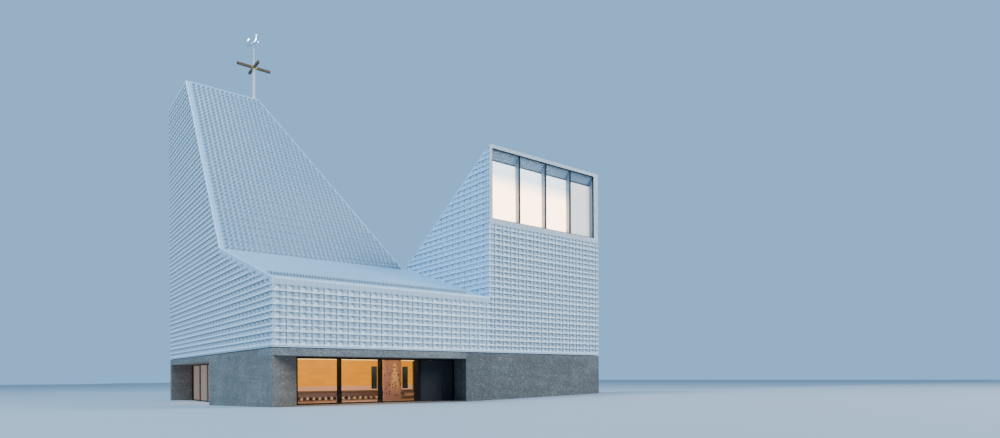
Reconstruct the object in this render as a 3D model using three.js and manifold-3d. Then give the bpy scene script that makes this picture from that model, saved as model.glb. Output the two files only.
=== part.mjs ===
// A modern church: a stone base with two recessed entrances, and above it a white tiled
// body that folds into a tall tower at the back left and a window tower at the front right.
// Millimetres, +Z up, front facade towards -Y. The origin is the centre of the square plan
// at the lowest point where the walls meet the ground.
import * as THREE from "three";
import { mergeVertices } from "three/addons/utils/BufferGeometryUtils.js";
import Module from "manifold-3d";

const wasm = await Module();
wasm.setup();

// Driving dimensions. The whole building is laid out on the pitch of its square wall tiles,
// so plan positions count tiles from the front left corner, and heights count tiles from
// the foot of the tiled walls.
const TILE = 345;
const PLAN = 71; // side of the square plan
const BASE = 10; // foot of the tiled walls above the lowest ground
const WALL = 1.3; // thickness of walls and roofs, tiles included
const SKIN = 0.13; // the solid walls and roofs stop this far behind the faces of their tiles
const GAP = 0.3; // mm, between pieces that touch
const STONE_TOP = -0.33; // the stone stops here, under a dark open joint
const JOINT_DEPTH = 0.45;

// Main lines of the roof
const TOWER_X = 41; // left face of the window tower
const EAVE = 10.05; // top of the low walls
const FOLD_Y = 28; // where the low roof meets the tall tower
const FOLD = 19.12;
const TALL_TOP = 60;
const TALL_TOP_X = 15.8;
const TALL_TOP_Y = 53.8;
const TALL_FOOT_X = 39; // foot of the tall tower's side slope at the fold
const HIGH_EDGE = 38.65; // front top edge of the window tower
const VALLEY_Y = 31.4; // where the window tower's roof comes down to the fold's height

// Entrances
const FLOOR = -9.07;
const LINTEL = -1.43; // underside over the front recess
const SIDE_LINTEL = -1.52;
const RECESS = 4.6; // depth of both recesses
const SPLAY_X = 5.4; // inner end of the slanted jamb at the front left corner
const JAMB_X = 35.3; // outer edge of the jamb right of the doors
const JAMB_INNER_X = 35.97;
const SIDE_NEAR_Y = 35.5; // ends of the recess in the left facade
const SIDE_FAR_Y = PLAN - WALL;

const group = new THREE.Group();

const paint = (color, roughness, metalness = 0) =>
  new THREE.MeshStandardMaterial({ color, roughness, metalness });
const TILES = paint(0xd5e0e6, 0.25);
const SMOOTH_TILES = paint(0xc4d4e0, 0.3);
const STONE = paint(0x767f82, 0.8);
const PALE_STONE = paint(0xcfcdc8, 0.6);
const PLASTER = paint(0xd8b48e, 0.8);
const BLACK_STEEL = paint(0x15181b, 0.4, 0.6);
const GLASS = paint(0x9fb0bb, 0.05);
const LIT_SHEET = paint(0xffead6, 0.5);
const BRONZE = paint(0x8a6a3c, 0.4, 0.9);
const POLISHED = paint(0xdfe3e6, 0.1, 1);
const CREAM_STEEL = paint(0xd9d3c4, 0.5, 0.2);
const GOLD_PANEL = paint(0xd99a3a, 0.6);
const BROWN_WOOD = paint(0x7a4b3c, 0.5);
const PALE_WOOD = paint(0xc9a78f, 0.6);
const FLOOR_STONE = paint(0x9a8c7e, 0.6);

// Plan and height positions in millimetres
const at = (tiles) => (tiles - PLAN / 2) * TILE;
const level = (tiles) => (tiles + BASE) * TILE;

const outline = (points) =>
  new THREE.Shape(points.map(([a, b]) => new THREE.Vector2(a, b)));
const raise = (points, depth, curveSegments = 6) =>
  new THREE.ExtrudeGeometry(outline(points), { depth, bevelEnabled: false, curveSegments });

// Prisms whose corners are given in tiles: upright, along X and along Y
const upright = (plan, low, high) =>
  raise(plan.map(([x, y]) => [at(x), at(y)]), (high - low) * TILE).translate(0, 0, level(low));
const alongX = (profile, low, high) =>
  raise(profile.map(([y, z]) => [at(y), level(z)]), (high - low) * TILE)
    .rotateX(Math.PI / 2)
    .rotateZ(Math.PI / 2)
    .translate(at(low), 0, 0);
const alongY = (profile, low, high) =>
  raise(profile.map(([x, z]) => [at(x), level(z)]), (high - low) * TILE)
    .rotateX(Math.PI / 2)
    .translate(0, at(high), 0);
const rectangle = (a0, b0, a1, b1) => [[a0, b0], [a1, b0], [a1, b1], [a0, b1]];
const block = (x0, y0, z0, x1, y1, z1) => upright(rectangle(x0, y0, x1, y1), z0, z1);

// Solids for cutting and joining
function solid(geometry) {
  const bare = geometry.clone();
  bare.deleteAttribute("normal");
  bare.deleteAttribute("uv");
  const merged = mergeVertices(bare, 1e-3);
  return new wasm.Manifold(
    new wasm.Mesh({
      numProp: 3,
      vertProperties: merged.attributes.position.array,
      triVerts: new Uint32Array(merged.index.array),
    }),
  );
}
const join = (geometries) => geometries.map(solid).reduce((whole, piece) => whole.add(piece));
const cut = (body, geometries) =>
  geometries.map(solid).reduce((rest, piece) => rest.subtract(piece), body);

function geometryOf(body) {
  const mesh = body.getMesh();
  const geometry = new THREE.BufferGeometry();
  const count = mesh.vertProperties.length / mesh.numProp;
  const positions = new Float32Array(count * 3);
  for (let i = 0; i < count; i++) {
    positions.set(mesh.vertProperties.subarray(i * mesh.numProp, i * mesh.numProp + 3), i * 3);
  }
  geometry.setAttribute("position", new THREE.BufferAttribute(positions, 3));
  geometry.setIndex(new THREE.BufferAttribute(mesh.triVerts, 1));
  geometry.computeVertexNormals();
  return geometry;
}

function add(name, shape, material) {
  const geometry = shape.isBufferGeometry ? shape : geometryOf(shape);
  const mesh = new THREE.Mesh(geometry, material);
  mesh.name = name;
  group.add(mesh);
}

// A plan outline drawn in by half a gap, so that neighbours cut from one shell stay apart
function drawnIn(points, distance = GAP / 2 / TILE) {
  return points.map((point, i) => {
    const before = points[(i + points.length - 1) % points.length];
    const after = points[(i + 1) % points.length];
    const a = new THREE.Vector2(point[0] - before[0], point[1] - before[1]).normalize();
    const b = new THREE.Vector2(after[0] - point[0], after[1] - point[1]).normalize();
    const shift = distance / (1 + a.dot(b));
    return [point[0] - shift * (a.y + b.y), point[1] + shift * (a.x + b.x)];
  });
}

// The roof's planes, each with the height it loses when its slab is taken off
const across = (slope) => Math.hypot(1, slope);
const LOW_SLOPE = (FOLD - EAVE) / FOLD_Y;
const HIGH_SLOPE = (HIGH_EDGE - FOLD) / VALLEY_Y;
const BACK_SLOPE = (FOLD - EAVE) / (PLAN - VALLEY_Y);
const TALL_SLOPE = (TALL_TOP - FOLD) / (TALL_TOP_Y - FOLD_Y);
const TALL_SIDE_SLOPE = (TALL_TOP - FOLD) / (TALL_FOOT_X - TALL_TOP_X);

// The building above the stone as one closed mass, drawn in by a thickness on every outer
// face. With thickness 0 it is the outside, with WALL it is the room inside.
function mass(thick, foot) {
  const far = PLAN - thick;
  const flat = FOLD - thick;
  const low = EAVE - thick * across(LOW_SLOPE);
  const high = HIGH_EDGE - thick * across(HIGH_SLOPE);
  const back = FOLD - thick * across(BACK_SLOPE);
  const tall = TALL_TOP - thick;
  const front = TALL_TOP - thick * across(TALL_SLOPE);
  const side = TALL_TOP - thick * across(TALL_SIDE_SLOPE);
  const foldY = Math.min((flat - low) / LOW_SLOPE, VALLEY_Y - 0.5);
  const backY = Math.max(VALLEY_Y + (back - flat) / BACK_SLOPE, VALLEY_Y - 0.5);
  const topY = TALL_TOP_Y + (tall - front) / TALL_SLOPE;
  const topX = TALL_TOP_X - (tall - side) / TALL_SIDE_SLOPE;
  const footY = TALL_TOP_Y - (front - foot) / TALL_SLOPE;
  const footX = TALL_TOP_X + (side - foot) / TALL_SIDE_SLOPE;
  const lowFront = alongX(
    [[thick, foot], [VALLEY_Y + 1, foot], [VALLEY_Y + 1, flat - 0.5], [VALLEY_Y, flat],
      [foldY, flat], [thick, low + LOW_SLOPE * thick]],
    thick, far,
  );
  const windowTower = alongX(
    [[thick, foot], [VALLEY_Y, foot], [VALLEY_Y, high - HIGH_SLOPE * VALLEY_Y],
      [thick, high - HIGH_SLOPE * thick]],
    TOWER_X + thick, far,
  );
  const lowBack = alongX(
    [[FOLD_Y, foot], [far, foot], [far, back - BACK_SLOPE * (far - VALLEY_Y)],
      [backY, flat], [FOLD_Y, flat]],
    thick, far,
  );
  const tallTower = solid(
    alongX([[footY, foot], [far, foot], [far, tall], [topY, tall]], thick, PLAN),
  ).intersect(
    solid(alongY([[thick, foot], [footX, foot], [topX, tall], [thick, tall]], 0, far)),
  );
  return join([lowFront, windowTower, lowBack]).add(tallTower);
}

// The high window: one wide opening with a head that slants down inwards
const WINDOW = {
  left: TOWER_X + 0.65, right: PLAN - WALL, sill: 24.8, head: 38.0,
  frameSill: 23.8, innerHead: 36.45, headDepth: 0.45, bays: 4,
};
const windowOpening = alongX(
  [[-1, WINDOW.sill], [WALL + 0.2, WINDOW.sill], [WALL + 0.2, WINDOW.innerHead - 0.2],
    [WALL, WINDOW.innerHead], [WINDOW.headDepth, WINDOW.head], [-1, WINDOW.head]],
  WINDOW.left, WINDOW.right,
);

// The open joint between tiles and stone runs round the foot of the walls
const jointRing = cut(
  solid(block(-1, -1, STONE_TOP - 1, PLAN + 1, PLAN + 1, 0)),
  [block(JOINT_DEPTH, JOINT_DEPTH, -3, PLAN - JOINT_DEPTH, PLAN - JOINT_DEPTH, 1)],
);
const shellOf = (skin) => solid(
  block(skin, skin, STONE_TOP + GAP / TILE, PLAN - skin, PLAN - skin, 1),
).add(mass(skin, 0.5)).subtract(mass(WALL, -2)).subtract(jointRing)
  .subtract(solid(windowOpening));
const carryingShell = shellOf(SKIN);
const flushShell = shellOf(0);

const shellPiece = (plan, low = -5, high = 80, from = carryingShell) =>
  from.intersect(solid(upright(drawnIn(plan), low, high)));

// Corners of the shell's pieces in plan, running past the outside faces
const OUT = -1;
const FAR = PLAN + 1;
const INNER = PLAN - WALL;
const backFootX = TALL_FOOT_X + BACK_SLOPE * (PLAN - VALLEY_Y) / TALL_SIDE_SLOPE;
const HALF_GAP = GAP / 2 / TILE;

const walls = {
  front_low_wall: rectangle(OUT, OUT, TOWER_X, WALL),
  left_low_wall: rectangle(OUT, WALL, WALL, FOLD_Y),
  left_tower_wall: rectangle(OUT, FOLD_Y, WALL, INNER),
  back_tower_wall: rectangle(OUT, INNER, backFootX, FAR),
  back_low_wall: rectangle(backFootX, INNER, FAR, FAR),
  right_tower_wall: rectangle(INNER, WALL, FAR, VALLEY_Y),
  right_low_wall: rectangle(INNER, VALLEY_Y, FAR, INNER),
  tower_side_wall: rectangle(TOWER_X, WALL, TOWER_X + WALL, VALLEY_Y),
};
for (const [name, plan] of Object.entries(walls)) {
  add(name, shellPiece(plan), TILES);
}
const towerFront = rectangle(TOWER_X, OUT, FAR, WALL);
add("front_tower_wall", shellPiece(towerFront, -5, WINDOW.frameSill - HALF_GAP), TILES);
add(
  "high_window_frame",
  shellPiece(towerFront, WINDOW.frameSill + HALF_GAP, 80, flushShell),
  PALE_STONE,
);

const roofs = {
  low_front_roof: rectangle(WALL, WALL, TOWER_X, FOLD_Y),
  window_tower_roof: rectangle(TOWER_X + WALL, WALL, INNER, VALLEY_Y),
  low_back_roof: [[TALL_FOOT_X, FOLD_Y], [TOWER_X, FOLD_Y], [TOWER_X, VALLEY_Y],
    [INNER, VALLEY_Y], [INNER, INNER], [backFootX, INNER], [TALL_FOOT_X, VALLEY_Y]],
};
for (const [name, plan] of Object.entries(roofs)) {
  add(name, shellPiece(plan), SMOOTH_TILES);
}
const tallTowerSlabs = {
  tall_tower_front: [[WALL, FOLD_Y], [TALL_FOOT_X, FOLD_Y], [TALL_TOP_X, TALL_TOP_Y],
    [WALL, TALL_TOP_Y]],
  tall_tower_side: [[TALL_TOP_X, TALL_TOP_Y], [TALL_FOOT_X, FOLD_Y], [TALL_FOOT_X, VALLEY_Y],
    [backFootX, INNER], [TALL_TOP_X, INNER]],
  tall_tower_top: rectangle(WALL, TALL_TOP_Y, TALL_TOP_X, INNER),
};
for (const [name, plan] of Object.entries(tallTowerSlabs)) {
  add(name, shellPiece(plan), TILES);
}

// Stone base
const GROUND = -BASE;
const JAMB_WALL = 1.3; // thickness of the returns beside the recesses
const REAR = RECESS + 1.55; // inner end of the lintel blocks and jamb returns
const gap = GAP / TILE;

const leftLintelBlock = (extra) => block(
  -extra, SIDE_NEAR_Y - extra, SIDE_LINTEL - extra, REAR + extra, SIDE_FAR_Y, 1,
);
const frontLintelPlan = [[0, 0], [JAMB_X - gap, 0], [JAMB_INNER_X - gap, RECESS],
  [JAMB_INNER_X - gap, REAR], [0, REAR]];
add("front_lintel", upright(frontLintelPlan, LINTEL, STONE_TOP), STONE);
add(
  "side_lintel",
  block(0, SIDE_NEAR_Y, SIDE_LINTEL, REAR, SIDE_FAR_Y - gap, STONE_TOP),
  STONE,
);
const leftWallPlan = [[0, 0], [SPLAY_X - gap, RECESS], [SPLAY_X - gap, REAR],
  [WALL, REAR], [WALL, SIDE_NEAR_Y - JAMB_WALL], [REAR, SIDE_NEAR_Y - JAMB_WALL],
  [REAR, SIDE_NEAR_Y - gap], [0, SIDE_NEAR_Y - gap]];
add(
  "left_base_wall",
  cut(solid(upright(leftWallPlan, GROUND, STONE_TOP)), [
    block(-1, -1, LINTEL - gap, JAMB_X, REAR + gap, 1),
    leftLintelBlock(gap),
  ]),
  STONE,
);
const frontWallPlan = [[JAMB_X, 0], [PLAN, 0], [PLAN, WALL], [JAMB_INNER_X + JAMB_WALL, WALL],
  [JAMB_INNER_X + JAMB_WALL, REAR], [JAMB_INNER_X, REAR], [JAMB_INNER_X, RECESS]];
add("front_base_wall", upright(frontWallPlan, GROUND, STONE_TOP), STONE);
add(
  "right_base_wall",
  block(INNER, WALL + gap, GROUND, PLAN, INNER - gap, STONE_TOP),
  STONE,
);
const BACK_WINDOWS = [[53.2, 55.2], [63.6, 65.7]];
const BACK_SILL = -8.0;
const BACK_HEAD = -1.45;
add(
  "back_base_wall",
  cut(solid(block(0, INNER, GROUND, PLAN, PLAN, STONE_TOP)),
    BACK_WINDOWS.map(([a, b]) => block(a, INNER - 1, BACK_SILL, b, FAR, BACK_HEAD))),
  STONE,
);

// Floors. The front recess is paved level with the floor inside.
const floorPlan = [[WALL + gap, REAR + gap], [WALL + gap, SIDE_NEAR_Y - JAMB_WALL - gap],
  [REAR + gap, SIDE_NEAR_Y - JAMB_WALL - gap], [REAR + gap, INNER - gap],
  [INNER - gap, INNER - gap], [INNER - gap, WALL + gap],
  [JAMB_INNER_X + JAMB_WALL + gap, WALL + gap], [JAMB_INNER_X + JAMB_WALL + gap, REAR + gap],
].reverse();
add("floor_slab", upright(floorPlan, GROUND, FLOOR), FLOOR_STONE);
add(
  "entrance_paving",
  upright([[0.01, 0], [JAMB_X - gap, 0], [JAMB_INNER_X - gap, RECESS],
    [JAMB_INNER_X - gap, REAR], [SPLAY_X, REAR], [SPLAY_X, RECESS]], GROUND, FLOOR),
  STONE,
);

// Front glazing: one sheet of glass over three bays, with deep steel posts behind it, and a
// pair of dark door leaves in the last bay
const RAIL = 0.2;
const HEAD_RAIL = LINTEL - 0.3;
const RAIL_DEPTH = 0.5;
const SHEET = 0.12; // thickness of the glass
const GLASS_FRONT = RECESS + 0.03;
const POST_BACK = RECESS + 1.5;
const DEEP_POSTS = [[12.92, 13.15], [20.6, 20.84]];
const frameLeft = SPLAY_X + gap;
const frameRight = JAMB_INNER_X - 2 * gap;
const frameFoot = FLOOR + gap;
const frameHead = LINTEL - gap;
const DOOR_POST = [28.02, 28.6];
const DOOR_RIGHT_POST = 35.62;
const MEETING = 33.08; // where the two leaves meet
const THRESHOLD = 20 / TILE;
const LEAF = 0.2; // thickness of a door leaf
const LEAF_FRONT = RECESS + 0.02;
const CLEAR = 6 / TILE; // running clearance round a leaf
const PIVOT = 0.06; // half the side of a pivot
const PULL = {
  inset: 0.55, reach: 0.17, radius: 0.05, arm: 0.04, low: -7.25, high: -6.15, end: 0.15,
};
const leafFoot = frameFoot + THRESHOLD + CLEAR;
const leafHead = HEAD_RAIL - CLEAR;
const leftHinge = DOOR_POST[1] + CLEAR;
const rightHinge = DOOR_RIGHT_POST - CLEAR;
const pivot = (x, low, high) =>
  block(x - PIVOT, LEAF_FRONT - PIVOT, low, x + PIVOT, LEAF_FRONT + PIVOT, high);
const post = (x0, x1, y0) => block(x0, y0, frameFoot, x1, POST_BACK, frameHead);
const railBack = RECESS + RAIL_DEPTH;
const glassBack = GLASS_FRONT + SHEET + gap;
add(
  "entrance_frame",
  join([
    post(frameLeft, frameLeft + RAIL, RECESS),
    ...DEEP_POSTS.map(([x0, x1]) => post(x0, x1, glassBack)),
    post(DOOR_POST[0], DOOR_POST[1], RECESS),
    post(DOOR_RIGHT_POST, frameRight, RECESS),
    block(frameLeft, RECESS, HEAD_RAIL, frameRight, railBack, frameHead),
    block(frameLeft, RECESS, frameFoot, DOOR_POST[1], railBack, FLOOR + RAIL),
    block(DOOR_POST[0], RECESS, frameFoot, frameRight, railBack, frameFoot + THRESHOLD),
    ...[leftHinge, rightHinge].flatMap((x) => [
      pivot(x, frameFoot, leafFoot - gap),
      pivot(x, leafHead + gap, frameHead),
    ]),
  ]).subtract(solid(block(frameLeft + RAIL - gap, GLASS_FRONT - gap, FLOOR + RAIL - gap,
    DOOR_POST[0] + gap, glassBack, HEAD_RAIL + gap))),
  BLACK_STEEL,
);
add(
  "entrance_glass",
  block(frameLeft + RAIL, GLASS_FRONT, FLOOR + RAIL, DOOR_POST[0], GLASS_FRONT + SHEET, HEAD_RAIL),
  GLASS,
);

// Door leaves, hung on pivots at the outer corner of each leaf's edge, with a short pull each
const round = (x, y, radius, low, high, topRadius = radius, sides = 16) =>
  new THREE.CylinderGeometry(topRadius * TILE, radius * TILE, (high - low) * TILE, sides)
    .rotateX(Math.PI / 2)
    .translate(at(x), at(y), (level(low) + level(high)) / 2);
for (const [side, edge, hinge] of [["left", MEETING - CLEAR, leftHinge],
  ["right", MEETING + CLEAR, rightHinge]]) {
  const [x0, x1] = [Math.min(edge, hinge), Math.max(edge, hinge)];
  const plan = rectangle(x0, LEAF_FRONT, x1, LEAF_FRONT + LEAF);
  const pullX = edge + PULL.inset * Math.sign(hinge - edge);
  add(`door_leaf_${side}`, upright(plan, leafFoot, leafHead), BLACK_STEEL);
  add(
    `door_pull_${side}`,
    join([
      round(pullX, LEAF_FRONT - PULL.reach, PULL.radius, PULL.low, PULL.high),
      ...[PULL.low + PULL.end, PULL.high - PULL.end].map((z) => block(
        pullX - PULL.arm, LEAF_FRONT - PULL.reach, z - PULL.arm,
        pullX + PULL.arm, LEAF_FRONT - gap, z + PULL.arm,
      )),
    ]),
    BLACK_STEEL,
  );
}

// Side glazing in the left facade: a flush sheet of glass, slender posts behind it and a
// lining of pale panels behind the posts
const SIDE_BAYS = 5;
const SIDE_POST_BACK = RECESS + 0.33;
const SIDE_PANEL = 0.2; // thickness of the lining
const sideHead = SIDE_LINTEL - gap;
const sideNear = SIDE_NEAR_Y + gap;
const sideFar = SIDE_FAR_Y - gap;
const sideBay = (sideFar - sideNear) / SIDE_BAYS;
const sidePosts = Array.from({ length: SIDE_BAYS + 1 }, (_, i) => {
  const y = Math.min(Math.max(sideNear + i * sideBay - RAIL / 2, sideNear), sideFar - RAIL);
  return block(RECESS, y, GROUND, SIDE_POST_BACK, y + RAIL, sideHead);
});
add(
  "side_frame",
  join([
    ...sidePosts,
    block(RECESS, sideNear, GROUND, SIDE_POST_BACK, sideFar, GROUND + RAIL),
    block(RECESS, sideNear, sideHead - RAIL, SIDE_POST_BACK, sideFar, sideHead),
  ]).subtract(solid(block(GLASS_FRONT - gap, sideNear + RAIL - gap, GROUND + RAIL - gap,
    glassBack, sideFar - RAIL + gap, sideHead - RAIL + gap))),
  BLACK_STEEL,
);
add(
  "side_glass",
  block(GLASS_FRONT, sideNear + RAIL, GROUND + RAIL,
    GLASS_FRONT + SHEET, sideFar - RAIL, sideHead - RAIL),
  GLASS,
);

add(
  "side_panels",
  block(SIDE_POST_BACK + gap, sideNear, GROUND, SIDE_POST_BACK + SIDE_PANEL, sideFar, sideHead),
  PALE_WOOD,
);

// Panes of the two narrow windows at the back
const BACK_PANE = [INNER + 0.5, INNER + 0.8];
BACK_WINDOWS.forEach(([a, b], i) => {
  add(
    `back_window_${i + 1}`,
    block(a + gap, BACK_PANE[0], BACK_SILL + gap, b - gap, BACK_PANE[1], BACK_HEAD - gap),
    GLASS,
  );
});

// High window: thin dark bars outside, glass, deep fins and a lit sheet behind them
const BAR = 0.14;
const BAR_FRONT = 0.1;
const BAR_BACK = 0.3;
const PANE_BACK = BAR_BACK + gap + SHEET;
const w = {
  left: WINDOW.left + gap, right: WINDOW.right - gap,
  sill: WINDOW.sill + gap, head: WINDOW.head - gap,
};
const bay = (WINDOW.right - WINDOW.left) / WINDOW.bays;
const mullionX = Array.from({ length: WINDOW.bays - 1 }, (_, i) => WINDOW.left + (i + 1) * bay);
add(
  "high_window_bars",
  join([
    ...mullionX.map((x) => block(x - BAR / 2, BAR_FRONT, w.sill, x + BAR / 2, BAR_BACK, w.head)),
    block(w.left, BAR_FRONT, w.sill, w.left + BAR, BAR_BACK, w.head),
    block(w.right - BAR, BAR_FRONT, w.sill, w.right, BAR_BACK, w.head),
    block(w.left, BAR_FRONT, w.sill, w.right, BAR_BACK, w.sill + BAR),
    block(w.left, BAR_FRONT, w.head - BAR, w.right, BAR_BACK, w.head),
  ]),
  BLACK_STEEL,
);
add(
  "high_window_glass",
  block(w.left, BAR_BACK + gap, w.sill, w.right, PANE_BACK, w.head),
  GLASS,
);
const FIN = 0.3;
const SHELF = 0.2;
const headSlope = (WINDOW.head - WINDOW.innerHead) / (WALL - WINDOW.headDepth);
const headAt = (y) => WINDOW.head - headSlope * (y - WINDOW.headDepth);
add(
  "high_window_fins",
  join([
    block(w.left, PANE_BACK + gap, w.sill, w.right, WALL, w.sill + SHELF),
    ...mullionX.map((x) => alongX(
      [[PANE_BACK + gap, w.sill], [WALL, w.sill], [WALL, headAt(WALL) - 2 * gap],
        [WINDOW.headDepth, w.head - gap], [PANE_BACK + gap, w.head - gap]],
      x - FIN / 2, x + FIN / 2,
    )),
  ]),
  PALE_STONE,
);
const LIT = 0.2; // thickness of the lit sheet
const LIT_TOP = WINDOW.innerHead - 0.35;
add(
  "high_window_lit_sheet",
  block(TOWER_X + WALL + gap, WALL + gap, WINDOW.frameSill, INNER - gap, WALL + LIT, LIT_TOP),
  LIT_SHEET,
);

// Inside, as far as the front glass shows it: a ceiling over the lobby, a lining on the back
// wall, a perforated screen beside the doors and rows of benches
const CEILING = { back: 17, thickness: 0.5 };
const LINING = { left: 28, right: 67.2, foot: FLOOR + 0.75, top: 2.17, thickness: 0.2 };
const SCREEN = { left: 25.05, right: 28.9, front: 11.9, thickness: 0.25 };
const BENCH = {
  count: 4, first: 24, pitch: 3, left: 11, right: 37, depth: 1.2, low: 1.1, high: 1.25,
  legs: [12, 23.8, 35.6], legWidth: 0.4, legInset: 0.1, legTop: 1.2,
};
add(
  "entrance_ceiling",
  block(WALL + gap, REAR + gap, LINTEL, JAMB_INNER_X + JAMB_WALL, CEILING.back,
    LINTEL + CEILING.thickness),
  PLASTER,
);
add(
  "gold_wall_lining",
  cut(
    solid(block(LINING.left, INNER - LINING.thickness, LINING.foot, LINING.right, INNER - gap,
      LINING.top)),
    BACK_WINDOWS.map(([a, b]) => block(a, INNER - 1, BACK_SILL, b, INNER + 1, BACK_HEAD)),
  ),
  GOLD_PANEL,
);
add(
  "perforated_screen",
  block(SCREEN.left, SCREEN.front, FLOOR + gap, SCREEN.right, SCREEN.front + SCREEN.thickness,
    LINTEL - gap),
  BROWN_WOOD,
);
for (let i = 0; i < BENCH.count; i++) {
  const y0 = BENCH.first + BENCH.pitch * i;
  const y1 = y0 + BENCH.depth;
  const seat = block(BENCH.left, y0, FLOOR + BENCH.low, BENCH.right, y1, FLOOR + BENCH.high);
  const legs = BENCH.legs.map((x) => block(
    x, y0 + BENCH.legInset, FLOOR + gap, x + BENCH.legWidth, y1 - BENCH.legInset,
    FLOOR + BENCH.legTop,
  ));
  add(`bench_${i + 1}`, join([seat, ...legs]), BROWN_WOOD);
}

// Mast, cross and weathercock on the tall tower
const MAST = {
  x: 15.0, y: 54.6, footRadius: 0.34, topRadius: 0.3, plateRadius: 0.6, plateTop: 0.16, foot: 0.05,
};
const CROSS = { height: 67.5, half: 0.25, hub: 0.36, reachX: 3.85, reachY: 3.4 };
const PIN = {
  ball: 71.4, ballRadius: 0.26, footRadius: 0.16, neckRadius: 0.12, radius: 0.09, top: 72.15,
};
const roofTop = TALL_TOP - SKIN;
add(
  "mast",
  join([
    round(MAST.x, MAST.y, MAST.plateRadius, roofTop + gap, roofTop + MAST.plateTop),
    round(MAST.x, MAST.y, MAST.footRadius, roofTop + MAST.foot, CROSS.height - CROSS.hub - gap,
      MAST.topRadius),
  ]),
  CREAM_STEEL,
);
const aboutHub = (halfX, halfY, halfZ) => block(
  MAST.x - halfX, MAST.y - halfY, CROSS.height - halfZ,
  MAST.x + halfX, MAST.y + halfY, CROSS.height + halfZ,
);
add(
  "cross",
  join([
    aboutHub(CROSS.reachX, CROSS.half, CROSS.half),
    aboutHub(CROSS.half, CROSS.reachY, CROSS.half),
    aboutHub(CROSS.hub, CROSS.hub, CROSS.hub),
  ]),
  BRONZE,
);
add(
  "vane_pin",
  join([
    round(MAST.x, MAST.y, PIN.footRadius, CROSS.height + CROSS.hub + gap, PIN.ball,
      PIN.neckRadius),
    round(MAST.x, MAST.y, PIN.radius, PIN.ball, PIN.top),
    new THREE.SphereGeometry(PIN.ballRadius * TILE, 16, 10)
      .rotateX(Math.PI / 2)
      .translate(at(MAST.x), at(MAST.y), level(PIN.ball)),
  ]),
  CREAM_STEEL,
);

// The bird's outline, in tiles across from its pin and up from the pin's top
const VANE_TURN = -0.636; // radians from +X, as the wind has left it
const BIRD = 0.3; // thickness
const SOCKET = { radius: 0.14, height: 0.6 }; // the tube under the bird that sits on the pin
const bird = new THREE.Shape();
bird.moveTo(-0.15, 0.2);
bird.quadraticCurveTo(0.5, 0.0, 0.95, 0.3);
bird.quadraticCurveTo(1.42, 0.6, 1.36, 1.25);
bird.quadraticCurveTo(1.3, 2.1, 0.98, 2.6);
bird.lineTo(1.32, 2.72);
bird.lineTo(0.98, 2.92);
bird.quadraticCurveTo(0.78, 3.35, 0.42, 3.18);
bird.quadraticCurveTo(0.5, 2.1, 0.05, 1.6);
bird.quadraticCurveTo(-0.15, 1.35, -0.35, 1.42);
bird.quadraticCurveTo(-0.5, 2.1, -0.98, 2.12);
bird.quadraticCurveTo(-1.62, 2.05, -1.62, 1.15);
bird.quadraticCurveTo(-1.72, 0.45, -1.36, 0.02);
bird.quadraticCurveTo(-1.0, -0.26, -0.6, -0.06);
bird.quadraticCurveTo(-0.35, 0.12, -0.15, 0.2);
add(
  "weathercock",
  join([
    new THREE.ExtrudeGeometry(bird, { depth: BIRD, bevelEnabled: false, curveSegments: 5 })
      .translate(0, 0, -BIRD / 2)
      .scale(TILE, TILE, TILE)
      .rotateX(Math.PI / 2)
      .rotateZ(VANE_TURN)
      .translate(at(MAST.x), at(MAST.y), level(PIN.top)),
    round(MAST.x, MAST.y, SOCKET.radius, PIN.top + gap, PIN.top + SOCKET.height),
  ]),
  POLISHED,
);

export default group;
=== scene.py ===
import math

import bmesh
import bpy
from mathutils import Matrix, Vector


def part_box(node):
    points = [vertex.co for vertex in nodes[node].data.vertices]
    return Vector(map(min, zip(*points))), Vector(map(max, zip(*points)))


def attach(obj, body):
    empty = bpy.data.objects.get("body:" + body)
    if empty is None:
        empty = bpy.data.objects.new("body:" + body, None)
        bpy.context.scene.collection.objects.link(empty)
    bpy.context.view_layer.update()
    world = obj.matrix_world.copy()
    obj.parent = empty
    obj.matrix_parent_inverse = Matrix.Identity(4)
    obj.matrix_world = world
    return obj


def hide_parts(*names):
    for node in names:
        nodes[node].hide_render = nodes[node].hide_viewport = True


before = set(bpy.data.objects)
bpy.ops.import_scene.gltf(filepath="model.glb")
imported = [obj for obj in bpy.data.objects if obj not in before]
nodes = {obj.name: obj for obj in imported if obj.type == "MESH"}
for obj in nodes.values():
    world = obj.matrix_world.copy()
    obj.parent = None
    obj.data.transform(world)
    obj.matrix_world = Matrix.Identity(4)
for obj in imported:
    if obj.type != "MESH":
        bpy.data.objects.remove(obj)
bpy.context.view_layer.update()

# Stone base and lintels
# Cast walls of a grey conglomerate with river pebbles, honed flat, 0.45 m thick. They stand
# on the foundations and carry the tiled walls above a dark open joint. The pours differ a
# little in tone, and the lintel over the front entrance is the palest.


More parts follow.
